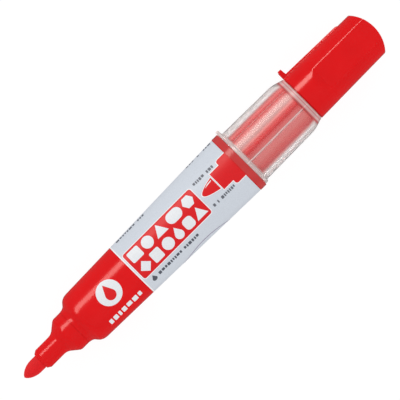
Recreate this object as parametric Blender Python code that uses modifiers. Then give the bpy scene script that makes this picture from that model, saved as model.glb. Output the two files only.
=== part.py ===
"""Refillable whiteboard marker with a bullet nib, lying on its side with its cap posted on the tail.

Pen frame: Z runs along the axis from the nib's point to the cap's end, X points to the anti-roll
lugs and Y to the middle of the printed label. The empty pen_axis lays that frame down: the world's X
is the pen's Z, the world's Y is the pen's X, and the world's Z, up, is the pen's Y. The world's origin
is the middle of the foot of the whole object's box. Lengths are in metres.
"""

import math

import bmesh
import bpy
from mathutils import Vector

MM = 0.001

# Facets round the axis. Two more than a multiple of four puts a flat, not a corner, under the pen.
OUTER_STEPS = 34
INNER_STEPS = 26
SHARP_ANGLE = math.radians(32)
WELD = 0.01 * MM

# Overall
LENGTH = 150.0 * MM
FIT_GAP = 0.15 * MM  # radial room between pieces that fit into each other
FACE_GAP = 0.3 * MM  # axial room between pieces that butt
EMBED = 0.8 * MM  # how far a lug, tab or spine is rooted in its wall
BREAK = 0.5 * MM  # lead-in bevels and rounded bottoms

# Nib
NIB_R = 2.42 * MM
NIB_POINT = 5.0 * MM
NIB_BLUNTNESS = 0.68
NIB_END_Z = 18.5 * MM
NIB_SOCKET_Z = 13.0 * MM

# Nose cone
NOSE_Z = 7.0 * MM
TUBE_R = 3.52 * MM
TUBE_CHAMFER = 1.2 * MM
FLARE_Z = 13.6 * MM
NECK_Z = 18.9 * MM
NECK_R = 6.32 * MM
NOSE_PLUG_R = 5.6 * MM
NOSE_PLUG_END_Z = 30.0 * MM
NOSE_PLUG_BEVEL = (0.6 * MM, 0.4 * MM)
NOSE_WEB = 2.0 * MM
CONE_FOOT = (16.0 * MM, 4.5 * MM)
CONE_TOP = (17.6 * MM, 5.78 * MM)

# Barrel: grip, label recess and rear ring
BARREL_Z = 21.8 * MM
GRIP_Z = 26.9 * MM
GRIP_FRONT_R = 9.0 * MM
GRIP_REAR_R = 9.45 * MM
SHOULDER_KNEE = (23.2 * MM, 6.9 * MM)
SHOULDER_SLOPE = (23.8 * MM, 7.6 * MM)
LABEL_Z = 45.9 * MM
LABEL_FRONT_R = 9.43 * MM
LABEL_REAR_R = 10.56 * MM
RING_Z = 91.0 * MM
RING_END_Z = 93.5 * MM
RING_R = 10.68 * MM
RING_EDGE = 0.2 * MM
BARREL_BORE_R = 7.85 * MM
FILM = 0.15 * MM
FILM_GAP = 0.1 * MM

# Screw thread between barrel and tail
THREAD_LEAD = 3.0 * MM
THREAD_WIRE = 0.45 * MM
THREAD_ROOM = 0.15 * MM
THREAD_Z = 86.2 * MM
THREAD_TURNS = 1.6
THREAD_TRAVEL = 7.5 * MM
THREAD_SIDES_PER_TURN = 22
COLLAR_Z = 84.6 * MM
COLLAR_R = 8.7 * MM
SMALL_BEVEL = 0.3 * MM

# Tail cover
FLANGE_END_Z = 94.5 * MM
FLANGE_R = 10.27 * MM
TAIL_FRONT_R = 9.66 * MM
TAIL_REAR_R = 9.38 * MM
TAIL_SHOULDER_Z = 114.3 * MM
TAIL_END_Z = 119.1 * MM
TAIL_END_R = 8.15 * MM
TAIL_BORE_R = 7.95 * MM
TAIL_BORE_END_Z = 117.9 * MM
SPIGOT_R = 6.35 * MM
SPIGOT_END_Z = 125.5 * MM
SPIGOT_BORE_R = 5.2 * MM
SPIGOT_WALL = 1.2 * MM
RIB_COUNT = 6
RIB_FIRST_DEG = 106.0
RIB_TOP_R = 7.75 * MM
RIB_WIDTH = 0.6 * MM
RIB_Z = (95.2 * MM, 116.8 * MM)

# Anti-roll lugs: on the tail's flange and on the cap's rim
LUG_R = 11.44 * MM
LUG_WIDTH = 3.0 * MM
TAB_R = 10.97 * MM
TAB_WIDTH = 3.4 * MM
TAB_Z = (119.6 * MM, 121.1 * MM)

# Cap
CAP_Z = 119.5 * MM
CAP_RIM_R = 8.3 * MM
CAP_END_R = 7.95 * MM
CAP_CORNER_Z = 147.1 * MM
CAP_SEAT_R = 7.05 * MM
CAP_SEAT_END_Z = 126.4 * MM
CAP_CORE_R = 5.65 * MM
CAP_CORE_Z = (127.6 * MM, 147.0 * MM)
CAP_RIM_BEVEL = 0.15 * MM
FLAT_Y = 7.05 * MM
FLAT_Z = (125.4 * MM, 128.1 * MM)
SPINE_WIDTH = 2.4 * MM
SPINE_R = (8.81 * MM, 8.36 * MM)
SPINE_Z = (120.6 * MM, 141.6 * MM)
SPINE_BEVEL = 0.6 * MM
SPINE_ROOT_R = 7.25 * MM
LINER_SEAL_R = 6.5 * MM
LINER_BORE_R = 4.9 * MM
LINER_STEP_Z = (125.8 * MM, 127.2 * MM)
LINER_END_Z = 146.4 * MM
LINER_WALL = 0.8 * MM

# Feed: collector, relay core, housing and connection pipe
CORE_R = 1.0 * MM
CORE_Z = (14.0 * MM, 74.0 * MM)
COLLECTOR_R = 6.6 * MM
COLLECTOR_ROOT_R = 2.5 * MM
COLLECTOR_FRONT_R = 2.95 * MM
COLLECTOR_Z = (24.0 * MM, 33.0 * MM, 61.5 * MM)
FIN_COUNT = 11
FIN_SHARE = 0.42
SLIT_WIDTH = 0.6 * MM
HOUSING_R = 7.7 * MM
HOUSING_BORE_R = 6.8 * MM
HOUSING_Z = (31.5 * MM, 62.6 * MM, 66.4 * MM)
GUIDE_R = (3.9 * MM, 4.9 * MM)
GUIDE_END_Z = 75.0 * MM
SEAL_WIRE = 0.42 * MM
PIPE_R = 1.7 * MM
PIPE_BORE_R = 1.15 * MM
PIPE_HEAD_R = 3.4 * MM
PIPE_HEAD = 0.9 * MM
PIPE_POCKET = 1.2 * MM
PIPE_TIP = 1.0 * MM
SLIT_ANGLE = math.radians(97)
MOUTH_SEAL_R = 2.8 * MM
MOUTH_SEAL_WIRE = 0.75 * MM
MOUTH_SEAL_RISE = 1.2 * MM

# Cartridge
MOUTH_Z = 69.0 * MM
BOTTLE_NECK_R = 3.6 * MM
BOTTLE_NECK_END_Z = 77.0 * MM
BOTTLE_R = 7.55 * MM
BOTTLE_SHOULDER_Z = 80.5 * MM
BOTTLE_END_Z = 117.3 * MM
BOTTLE_WALL = 0.8 * MM
BOTTLE_EDGE = 0.7 * MM
MOUTH_LIP = 0.9 * MM
PLUG_DEPTH = 5.0 * MM
PLUG_BORE_R = 1.9 * MM
BALL_R = 1.9 * MM
BALL_Z = 85.0 * MM

# The ring's lowest flat touches the table, and the lug and the ring bound the object sideways.
AXIS_HEIGHT = RING_R * math.cos(math.pi / OUTER_STEPS)
AXIS_SIDE = (RING_R - LUG_R) / 2

RED = (0.72, 0.012, 0.014)
DEEP_RED = (0.50, 0.02, 0.02)
INK_RED = (0.65, 0.03, 0.03)


def clear_scene():
    for obj in list(bpy.data.objects):
        bpy.data.objects.remove(obj)


def collection(name):
    made = bpy.data.collections.new(name)
    bpy.context.scene.collection.children.link(made)
    return made


def material(name, rgb, roughness, alpha=1.0):
    made = bpy.data.materials.new(name)
    made.use_nodes = True
    shader = made.node_tree.nodes["Principled BSDF"]
    shader.inputs["Base Color"].default_value = (*rgb, 1.0)
    shader.inputs["Roughness"].default_value = roughness
    shader.inputs["Metallic"].default_value = 0.0
    shader.inputs["Alpha"].default_value = alpha
    made.diffuse_color = (*rgb, alpha)
    return made


def curve_between(start, start_handle, end_handle, end, count=5):
    """Points after start up to end on a Bezier curve, as (z, r)."""
    points = []
    for i in range(1, count + 1):
        t = i / count
        weights = ((1 - t) ** 3, 3 * t * (1 - t) ** 2, 3 * t * t * (1 - t), t**3)
        corners = (start, start_handle, end_handle, end)
        points.append(tuple(sum(w * p[k] for w, p in zip(weights, corners)) for k in (0, 1)))
    return points


def label_r(z):
    """Radius of the label's surface, a straight taper."""
    share = (z - LABEL_Z) / (RING_Z - LABEL_Z)
    return LABEL_FRONT_R + share * (LABEL_REAR_R - LABEL_FRONT_R)


def link(obj, group):
    group.objects.link(obj)
    return obj


def turned(name, outer, bore, steps, group):
    """A turned piece. outer and bore are (z, r), front to rear. A blind bore ends on the axis."""
    path = list(reversed(outer)) + list(bore)
    closed = path[0][1] > 0
    count = len(path)
    edges = [(i, (i + 1) % count) for i in range(count if closed else count - 1)]
    mesh = bpy.data.meshes.new(name)
    mesh.from_pydata([(r, 0, z) for z, r in path], edges, [])
    obj = link(bpy.data.objects.new(name, mesh), group)
    screw = obj.modifiers.new("turn", "SCREW")
    screw.axis = "Z"
    screw.angle = math.tau
    screw.steps = steps
    screw.render_steps = steps
    screw.use_merge_vertices = True
    screw.merge_threshold = WELD
    return obj


def block(name, centre, size, angle, group):
    """A box whose first side lies at that angle round the axis. centre is (radius, z)."""
    mesh = bpy.data.meshes.new(name)
    shape = bmesh.new()
    bmesh.ops.create_cube(shape, size=1.0)
    bmesh.ops.scale(shape, vec=Vector(size), verts=shape.verts)
    bmesh.ops.translate(shape, vec=Vector((centre[0], 0, centre[1])), verts=shape.verts)
    shape.to_mesh(mesh)
    shape.free()
    obj = link(bpy.data.objects.new(name, mesh), group)
    obj.rotation_euler.z = angle
    return obj


def mesh_from_curve(obj, group):
    """The curve object's solid as a mesh object, its caps welded on."""
    bpy.context.view_layer.update()
    graph = bpy.context.evaluated_depsgraph_get()
    mesh = bpy.data.meshes.new_from_object(obj.evaluated_get(graph))
    shape = bmesh.new()
    shape.from_mesh(mesh)
    bmesh.ops.remove_doubles(shape, verts=shape.verts, dist=WELD / 10)
    bmesh.ops.recalc_face_normals(shape, faces=shape.faces)
    shape.to_mesh(mesh)
    shape.free()
    made = link(bpy.data.objects.new(obj.name + "_solid", mesh), group)
    made.matrix_world = obj.matrix_world
    bpy.data.objects.remove(obj)
    return made


def slab(name, outline, thickness, group, facing):
    """A flat outline, thickened both ways from the axis. Points are (z, x), or (z, y) if facing is X."""
    data = bpy.data.curves.new(name, "CURVE")
    data.dimensions = "2D"
    data.fill_mode = "BOTH"
    data.extrude = thickness / 2
    spline = data.splines.new("POLY")
    spline.points.add(len(outline) - 1)
    for point, (z, across) in zip(spline.points, outline):
        point.co = (z, across, 0, 1)
    spline.use_cyclic_u = True
    obj = link(bpy.data.objects.new(name, data), group)
    # The curve's X goes to the pen's Z, and its Y to the pen's X or Y.
    obj.rotation_euler = (0 if facing == "X" else -math.pi / 2, -math.pi / 2, 0)
    return mesh_from_curve(obj, group)


def helix(name, radius, start_z, end_z, wire, taper, group):
    """A round wire on the thread's helix between two stations, thinner at its ends if taper is set."""
    count = max(2, round((end_z - start_z) / THREAD_LEAD * THREAD_SIDES_PER_TURN))
    data = bpy.data.curves.new(name, "CURVE")
    data.dimensions = "3D"
    data.bevel_depth = wire
    data.bevel_resolution = 1
    data.use_fill_caps = True
    spline = data.splines.new("POLY")
    spline.points.add(count)
    for i, point in enumerate(spline.points):
        z = start_z + (end_z - start_z) * i / count
        angle = math.tau * (z - THREAD_Z) / THREAD_LEAD
        point.co = (radius * math.cos(angle), radius * math.sin(angle), z, 1)
        point.radius = min(1.0, 0.45 + min(i, count - i) / 6) if taper else 1.0
    return mesh_from_curve(link(bpy.data.objects.new(name, data), group), group)


def combine(obj, other, operation):
    """Adds a live Boolean to obj and turns other into a helper that doesn't render."""
    modifier = obj.modifiers.new(other.name, "BOOLEAN")
    modifier.operation = operation
    modifier.solver = "EXACT"
    modifier.object = other
    other.hide_render = True
    other.display_type = "WIRE"


def settle(obj, look):
    """Makes obj's modifiers its own mesh, shades it smooth but for its corners, and gives it a look."""
    bpy.context.view_layer.update()
    graph = bpy.context.evaluated_depsgraph_get()
    mesh = bpy.data.meshes.new_from_object(obj.evaluated_get(graph))
    obj.modifiers.clear()
    obj.data = mesh
    mesh.shade_smooth()
    mesh.set_sharp_from_angle(angle=SHARP_ANGLE)
    mesh.materials.clear()
    mesh.materials.append(look)
    return obj


def make_nib(parts, look):
    """Felt bullet, blunt-pointed in front, with a socket behind for the relay core."""
    count = 8
    outer = [(0.0, 0.0)]
    for i in range(1, count + 1):
        z = NIB_POINT * (i / count) ** 1.6
        u = 1 - z / NIB_POINT
        outer.append((z, NIB_R * (1 - u * u) ** NIB_BLUNTNESS))
    socket_r = CORE_R + FIT_GAP
    outer += [(NIB_END_Z, NIB_R), (NIB_END_Z, socket_r)]
    outer += [(NIB_SOCKET_Z, socket_r), (NIB_SOCKET_Z, 0.0)]
    return settle(turned("nib", outer, [], INNER_STEPS, parts), look)


def make_nose_cone(parts, look):
    nib_bore = NIB_R + FIT_GAP
    core_bore = CORE_R + FIT_GAP
    collector_bore = COLLECTOR_FRONT_R + FIT_GAP
    web_end = NIB_END_Z + NOSE_WEB
    outer = [(NOSE_Z, nib_bore), (NOSE_Z, nib_bore + 0.2 * MM)]
    outer += [(NOSE_Z + TUBE_CHAMFER, TUBE_R), (FLARE_Z, TUBE_R)]
    outer += curve_between(outer[-1], (14.6 * MM, TUBE_R), (15.4 * MM, 3.96 * MM), CONE_FOOT, 4)
    neck = (NECK_Z, NECK_R)
    outer += curve_between(CONE_TOP, (17.95 * MM, 6.1 * MM), (18.4 * MM, NECK_R), neck, 3)
    outer += [
        (BARREL_Z - FACE_GAP, NECK_R),
        (BARREL_Z - FACE_GAP, NOSE_PLUG_R),
        (NOSE_PLUG_END_Z - NOSE_PLUG_BEVEL[0], NOSE_PLUG_R),
        (NOSE_PLUG_END_Z, NOSE_PLUG_R - NOSE_PLUG_BEVEL[1]),
        (NOSE_PLUG_END_Z, collector_bore),
    ]
    bore = [
        (NIB_END_Z + FACE_GAP, nib_bore),
        (NIB_END_Z + FACE_GAP, core_bore),
        (web_end, core_bore),
        (web_end, collector_bore),
    ]
    return settle(turned("nose_cone", outer, bore, OUTER_STEPS, parts), look)


def make_barrel(parts, helpers, look):
    under_film = FILM + FILM_GAP
    plug_bore = NOSE_PLUG_R + FIT_GAP
    thread_bore = COLLAR_R + FIT_GAP
    outer = [(BARREL_Z, plug_bore), (BARREL_Z, NECK_R + 0.1 * MM)]
    handles = ((22.4 * MM, 6.52 * MM), (22.8 * MM, 6.78 * MM))
    outer += curve_between(outer[-1], *handles, SHOULDER_KNEE, 3)
    handles = ((24.4 * MM, 8.45 * MM), (25.4 * MM, 8.96 * MM))
    outer += curve_between(SHOULDER_SLOPE, *handles, (GRIP_Z, GRIP_FRONT_R), 5)
    outer += [
        (LABEL_Z - RING_EDGE, GRIP_REAR_R),
        (LABEL_Z, label_r(LABEL_Z) - under_film),
        (RING_Z, label_r(RING_Z) - under_film),
        (RING_Z, RING_R - RING_EDGE),
        (RING_Z + RING_EDGE, RING_R),
        (RING_END_Z - RING_EDGE, RING_R),
        (RING_END_Z, RING_R - RING_EDGE),
        (RING_END_Z, thread_bore),
    ]
    bore = [
        (NOSE_PLUG_END_Z + FACE_GAP, plug_bore),
        (NOSE_PLUG_END_Z + FACE_GAP, BARREL_BORE_R),
        (COLLAR_Z - FACE_GAP, BARREL_BORE_R),
        (COLLAR_Z - FACE_GAP, thread_bore),
    ]
    barrel = turned("barrel", outer, bore, OUTER_STEPS, parts)
    groove = helix(
        "thread_groove",
        COLLAR_R,
        THREAD_Z - BREAK,
        RING_END_Z + 2 * BREAK,
        THREAD_WIRE + THREAD_ROOM,
        False,
        helpers,
    )
    combine(barrel, groove, "DIFFERENCE")
    return settle(barrel, look)


def make_label(parts, look):
    """Printed film round the barrel, in its recess."""
    front = LABEL_Z + FILM_GAP
    rear = RING_Z - FILM_GAP
    outer = [(front, label_r(front) - FILM), (front, label_r(front))]
    outer += [(rear, label_r(rear)), (rear, label_r(rear) - FILM)]
    return settle(turned("label_film", outer, [], OUTER_STEPS, parts), look)


def make_tail(parts, helpers, look):
    """Clear cover over the cartridge: screw collar, flange, shoulder, closed spigot and inner ribs."""
    flange_z = RING_END_Z + FILM_GAP
    outer = [
        (COLLAR_Z, TAIL_BORE_R),
        (COLLAR_Z, COLLAR_R - SMALL_BEVEL),
        (COLLAR_Z + SMALL_BEVEL, COLLAR_R),
        (flange_z, COLLAR_R),
        (flange_z, FLANGE_R),
        (FLANGE_END_Z - SMALL_BEVEL, FLANGE_R),
        (FLANGE_END_Z + SMALL_BEVEL, TAIL_FRONT_R),
        (TAIL_SHOULDER_Z, TAIL_REAR_R),
    ]
    handles = ((116.0 * MM, 9.3 * MM), (117.2 * MM, 8.75 * MM))
    outer += curve_between(outer[-1], *handles, (TAIL_END_Z, TAIL_END_R), 5)
    outer += [
        (TAIL_END_Z, SPIGOT_R),
        (SPIGOT_END_Z - BREAK, SPIGOT_R),
        (SPIGOT_END_Z, SPIGOT_R - BREAK),
        (SPIGOT_END_Z, 0.0),
    ]
    bore = [
        (TAIL_BORE_END_Z, TAIL_BORE_R),
        (TAIL_BORE_END_Z, SPIGOT_BORE_R),
        (SPIGOT_END_Z - SPIGOT_WALL, SPIGOT_BORE_R),
        (SPIGOT_END_Z - SPIGOT_WALL, 0.0),
    ]
    tail = turned("tail_cover", outer, bore, OUTER_STEPS, parts)
    ridge_end = THREAD_Z + THREAD_TURNS * THREAD_LEAD
    ridge = helix("thread_ridge", COLLAR_R, THREAD_Z, ridge_end, THREAD_WIRE, True, helpers)
    combine(tail, ridge, "UNION")
    lug_root = TAIL_FRONT_R - EMBED
    lug_z = (flange_z + FLANGE_END_Z) / 2
    lug_size = (LUG_R - lug_root, LUG_WIDTH, FLANGE_END_Z - flange_z - FILM_GAP)
    lug = block("flange_lug", ((LUG_R + lug_root) / 2, lug_z), lug_size, 0, helpers)
    combine(tail, lug, "UNION")
    rib_root = TAIL_BORE_R + BREAK
    rib_size = (rib_root - RIB_TOP_R, RIB_WIDTH, RIB_Z[1] - RIB_Z[0])
    for i in range(RIB_COUNT):
        angle = math.radians(RIB_FIRST_DEG + i * 360 / RIB_COUNT)
        middle = ((rib_root + RIB_TOP_R) / 2, sum(RIB_Z) / 2)
        rib = block(f"tail_rib_{i}", middle, rib_size, angle, helpers)
        combine(tail, rib, "UNION")
    return settle(tail, look)


def cap_r(z):
    """Radius of the cap's round side, a slight taper."""
    return CAP_RIM_R + (CAP_END_R - CAP_RIM_R) * (z - CAP_Z) / (CAP_CORNER_Z - CAP_Z)


def cap_end_outline():
    """The cap's end, seen from the label's side: one arc, with a corner at each side. Points are (z, x)."""
    rise = LENGTH - CAP_CORNER_Z
    end_r = (CAP_END_R**2 + rise**2) / (2 * rise)
    half_angle = math.asin(CAP_END_R / end_r)
    wide = 2 * CAP_RIM_R
    outline = [(CAP_Z - wide, wide), (CAP_Z - wide, -wide), (CAP_CORNER_Z - wide / 2, -wide)]
    count = 14
    for i in range(count + 1):
        angle = half_angle * (2 * i / count - 1)
        outline.append((LENGTH - end_r + end_r * math.cos(angle), end_r * math.sin(angle)))
    outline.append((CAP_CORNER_Z - wide / 2, wide))
    return outline


def make_cap(parts, helpers, look):
    """Cap shell: round at the rim, with a flat on both broad sides, an arched end, a spine and a tab."""
    uncut_end = LENGTH + 1 * MM
    outer = [
        (CAP_Z, CAP_SEAT_R),
        (CAP_Z, CAP_RIM_R - CAP_RIM_BEVEL),
        (CAP_Z + CAP_RIM_BEVEL, CAP_RIM_R),
        (uncut_end, cap_r(uncut_end)),
        (uncut_end, 0.0),
    ]
    bore = [
        (CAP_SEAT_END_Z, CAP_SEAT_R),
        (CAP_CORE_Z[0], CAP_CORE_R),
        (CAP_CORE_Z[1], CAP_CORE_R),
        (CAP_CORE_Z[1], 0.0),
    ]
    cap = turned("cap_shell", outer, bore, OUTER_STEPS, parts)
    tab_root = CAP_RIM_R - EMBED
    tab_size = (TAB_R - tab_root, TAB_WIDTH, TAB_Z[1] - TAB_Z[0])
    tab = block("cap_tab", ((TAB_R + tab_root) / 2, sum(TAB_Z) / 2), tab_size, 0, helpers)
    combine(cap, tab, "UNION")
    bevel_end = SPINE_Z[1] + SPINE_BEVEL
    spine_outline = [
        (SPINE_Z[0], SPINE_ROOT_R),
        (SPINE_Z[0], SPINE_R[0]),
        (SPINE_Z[1], SPINE_R[1]),
        (bevel_end, cap_r(bevel_end) - 0.1 * MM),
        (bevel_end, SPINE_ROOT_R),
    ]
    combine(cap, slab("cap_spine", spine_outline, SPINE_WIDTH, helpers, "Y"), "UNION")
    combine(cap, slab("cap_end_arch", cap_end_outline(), 4 * CAP_RIM_R, helpers, "Y"), "INTERSECT")
    far = 2 * CAP_RIM_R
    beyond = LENGTH + far
    ramp = (FLAT_Z[1] - FLAT_Z[0]) / (cap_r(FLAT_Z[0]) - FLAT_Y)
    ramp_start = (FLAT_Z[0] - ramp * (far - cap_r(FLAT_Z[0])), far)
    for side in (1, -1):
        outline = [ramp_start, (FLAT_Z[1], FLAT_Y), (beyond, FLAT_Y), (beyond, far)]
        outline = [(z, side * y) for z, y in outline]
        name = "cap_flat_front" if side > 0 else "cap_flat_back"
        combine(cap, slab(name, outline, far * 2, helpers, "X"), "DIFFERENCE")
    return settle(cap, look)


def make_cap_liner(parts, look):
    """Soft inner cap: it seals on the neck when the pen is capped, and grips the spigot when posted."""
    front = CAP_Z + FACE_GAP
    seat_r = CAP_SEAT_R - FIT_GAP
    core_r = CAP_CORE_R - FIT_GAP
    wall_end = LINER_END_Z - LINER_WALL
    outer = [
        (front, LINER_SEAL_R),
        (front, seat_r),
        (CAP_SEAT_END_Z - FIT_GAP, seat_r),
        (CAP_CORE_Z[0] - FIT_GAP, core_r),
        (LINER_END_Z, core_r),
        (LINER_END_Z, 0.0),
    ]
    bore = [
        (LINER_STEP_Z[0], LINER_SEAL_R),
        (LINER_STEP_Z[1], LINER_BORE_R),
        (wall_end, LINER_BORE_R),
        (wall_end, 0.0),
    ]
    return settle(turned("cap_liner", outer, bore, INNER_STEPS, parts), look)


def make_relay_core(parts, look):
    """Fibre rod that carries ink from the cartridge to the nib."""
    outer = [(CORE_Z[0], 0.0), (CORE_Z[0], CORE_R), (CORE_Z[1], CORE_R), (CORE_Z[1], 0.0)]
    return settle(turned("relay_core", outer, [], 14, parts), look)


def make_collector(parts, helpers, look):
    """Comb of fins that holds back ink when the air in the cartridge expands, slit along one side."""
    front, comb, rear = COLLECTOR_Z
    bore_r = CORE_R + FIT_GAP
    pitch = (rear - comb) / FIN_COUNT
    outer = [(front, bore_r), (front, COLLECTOR_FRONT_R), (comb, COLLECTOR_FRONT_R)]
    for i in range(FIN_COUNT):
        fin_front = comb + i * pitch
        fin_rear = fin_front + FIN_SHARE * pitch
        outer += [(fin_front, COLLECTOR_R), (fin_rear, COLLECTOR_R), (fin_rear, COLLECTOR_ROOT_R)]
        outer.append((fin_front + pitch, COLLECTOR_ROOT_R))
    outer.append((rear, bore_r))
    collector = turned("ink_collector", outer, [], INNER_STEPS, parts)
    depth = COLLECTOR_R - COLLECTOR_ROOT_R + 1 * MM
    slit_size = (depth, SLIT_WIDTH, rear - comb + 1 * MM)
    middle = (COLLECTOR_ROOT_R + depth / 2, (rear + comb) / 2)
    slit = block("collector_slit", middle, slit_size, SLIT_ANGLE, helpers)
    combine(collector, slit, "DIFFERENCE")
    return settle(collector, look)


def make_feed_housing(parts, look):
    """Tube round the collector. Its rear web holds the pipe, the O-ring and the cartridge's guide."""
    front, web, web_end = HOUSING_Z
    groove_z = (web + web_end) / 2
    groove = SEAL_WIRE + FIT_GAP
    groove_r = HOUSING_R - 2 * SEAL_WIRE
    outer = [
        (front, HOUSING_BORE_R),
        (front, HOUSING_R),
        (groove_z - groove, HOUSING_R),
        (groove_z - groove, groove_r),
        (groove_z + groove, groove_r),
        (groove_z + groove, HOUSING_R),
        (web_end, HOUSING_R),
        (web_end, GUIDE_R[1]),
        (GUIDE_END_Z, GUIDE_R[1]),
        (GUIDE_END_Z, GUIDE_R[0]),
        (web_end, GUIDE_R[0]),
        (web_end, PIPE_R + FIT_GAP),
    ]
    bore = [
        (web, HOUSING_BORE_R),
        (web, PIPE_HEAD_R + FIT_GAP),
        (web + PIPE_POCKET, PIPE_HEAD_R + FIT_GAP),
        (web + PIPE_POCKET, PIPE_R + FIT_GAP),
    ]
    return settle(turned("feed_housing", outer, bore, INNER_STEPS, parts), look)


def make_ring(name, z, major, minor, parts, look):
    """Round-section rubber ring on the axis."""
    bpy.ops.mesh.primitive_torus_add(
        major_radius=major,
        minor_radius=minor,
        major_segments=INNER_STEPS,
        minor_segments=8,
        location=(0, 0, z),
    )
    ring = bpy.context.active_object
    ring.name = name
    for group in ring.users_collection:
        group.objects.unlink(ring)
    return settle(link(ring, parts), look)


def make_connection_pipe(parts, look):
    """Pipe that pierces the cartridge's mouth, with a head that locks it in the housing's web."""
    head_z = HOUSING_Z[1] + FIT_GAP
    head_end = head_z + PIPE_HEAD
    tip = MOUTH_Z + THREAD_TRAVEL - 0.1 * MM
    outer = [
        (head_z, PIPE_BORE_R),
        (head_z, PIPE_HEAD_R),
        (head_end, PIPE_HEAD_R),
        (head_end, PIPE_R),
        (tip - PIPE_TIP, PIPE_R),
        (tip, PIPE_BORE_R + 0.15 * MM),
        (tip, PIPE_BORE_R),
    ]
    return settle(turned("connection_pipe", outer, [], 18, parts), look)


def make_cartridge_bottle(parts, look):
    neck_bore = BOTTLE_NECK_R - BOTTLE_WALL
    inner_r = BOTTLE_R - BOTTLE_WALL
    neck_z = MOUTH_Z + MOUTH_LIP
    inner_end = BOTTLE_END_Z - BOTTLE_WALL
    outer = [(neck_z, neck_bore), (neck_z, BOTTLE_NECK_R), (BOTTLE_NECK_END_Z, BOTTLE_NECK_R)]
    handles = ((77.9 * MM, 3.6 * MM), (77.6 * MM, BOTTLE_R))
    outer += curve_between(outer[-1], *handles, (BOTTLE_SHOULDER_Z, BOTTLE_R), 6)
    outer += [(BOTTLE_END_Z - BOTTLE_EDGE, BOTTLE_R), (BOTTLE_END_Z, BOTTLE_R - BOTTLE_EDGE)]
    outer.append((BOTTLE_END_Z, 0.0))
    bore = [(BOTTLE_NECK_END_Z + BOTTLE_WALL, neck_bore)]
    handles = ((78.8 * MM, 2.8 * MM), (78.6 * MM, inner_r))
    bore += curve_between(bore[-1], *handles, (BOTTLE_SHOULDER_Z + BOTTLE_WALL, inner_r), 6)
    bore += [(inner_end - BREAK, inner_r), (inner_end, inner_r - BREAK), (inner_end, 0.0)]
    return settle(turned("cartridge_bottle", outer, bore, INNER_STEPS, parts), look)


def make_mouth_plug(parts, look):
    """Seal ring pressed into the cartridge's neck, which the pipe passes through."""
    sleeve_r = BOTTLE_NECK_R - BOTTLE_WALL - FIT_GAP
    lip_end = MOUTH_Z + MOUTH_LIP - FIT_GAP
    end = MOUTH_Z + PLUG_DEPTH
    outer = [
        (MOUTH_Z, PLUG_BORE_R),
        (MOUTH_Z, BOTTLE_NECK_R),
        (lip_end, BOTTLE_NECK_R),
        (lip_end, sleeve_r),
        (end, sleeve_r),
        (end, PLUG_BORE_R),
    ]
    return settle(turned("cartridge_mouth_plug", outer, [], 18, parts), look)


def make_stopper_ball(parts, look):
    """Ball that stopped the mouth until the pipe pushed it in. It lies loose in the bottle."""
    lowest = BOTTLE_R - BOTTLE_WALL - BALL_R - FACE_GAP
    bpy.ops.mesh.primitive_uv_sphere_add(
        segments=16, ring_count=10, radius=BALL_R, location=(0, -lowest, BALL_Z)
    )
    ball = bpy.context.active_object
    ball.name = "stopper_ball"
    for group in ball.users_collection:
        group.objects.unlink(ball)
    return settle(link(ball, parts), look)


def lay_down(bodies, helpers):
    """Parents each body's pieces to an empty on the pen's axis, and lays the pen on its side."""
    root = bpy.data.objects.new("pen_axis", None)
    bpy.context.scene.collection.objects.link(root)
    root.location = (-LENGTH / 2, AXIS_SIDE, AXIS_HEIGHT)
    root.rotation_euler = (math.pi / 2, 0, math.pi / 2)
    for name, pieces in bodies.items():
        carrier = bpy.data.objects.new(name + "_carrier", None)
        bpy.context.scene.collection.objects.link(carrier)
        carrier.parent = root
        for piece in pieces:
            piece.parent = carrier
    for helper in helpers.objects:
        helper.parent = root


def main():
    clear_scene()
    parts = collection("whiteboard_marker")
    helpers = collection("cutters")
    red = material("gloss_red", RED, 0.22)
    barrel_red = material("barrel_red", DEEP_RED, 0.25)
    film = material("printed_film", (0.72, 0.76, 0.80), 0.35)
    felt = material("inked_felt", INK_RED, 0.9)
    clear = material("clear_plastic", (0.95, 0.95, 0.95), 0.05, 0.35)
    bottle = material("bottle_plastic", (0.85, 0.35, 0.33), 0.2, 0.6)
    natural = material("natural_plastic", (0.82, 0.82, 0.78), 0.4)
    rubber = material("seal_rubber", (0.04, 0.04, 0.04), 0.6)
    fibre = material("relay_fibre", INK_RED, 0.85)
    bodies = {
        "barrel": [
            make_nib(parts, felt),
            make_nose_cone(parts, red),
            make_barrel(parts, helpers, barrel_red),
            make_label(parts, film),
            make_relay_core(parts, fibre),
            make_collector(parts, helpers, natural),
            make_feed_housing(parts, natural),
            make_ring(
                "housing_o_ring",
                (HOUSING_Z[1] + HOUSING_Z[2]) / 2,
                HOUSING_R - SEAL_WIRE + 0.05 * MM,
                SEAL_WIRE,
                parts,
                rubber,
            ),
            make_connection_pipe(parts, natural),
            make_ring(
                "mouth_seal", HOUSING_Z[2] + MOUTH_SEAL_RISE, MOUTH_SEAL_R, MOUTH_SEAL_WIRE, parts, rubber
            ),
        ],
        "cartridge": [
            make_cartridge_bottle(parts, bottle),
            make_mouth_plug(parts, natural),
        ],
        "ball": [make_stopper_ball(parts, natural)],
        "tail": [make_tail(parts, helpers, clear)],
        "cap": [make_cap(parts, helpers, red), make_cap_liner(parts, natural)],
    }
    lay_down(bodies, helpers)


main()
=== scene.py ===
"""Looks of a red whiteboard marker: fine surfaces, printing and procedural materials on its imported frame.

Lengths are in millimetres in the pen's own frame, and become metres in to_world. There, z runs along the axis
from the nib's point, x points to the anti-roll lugs, and y to the middle of the printed label.
"""
import math
import random

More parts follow.
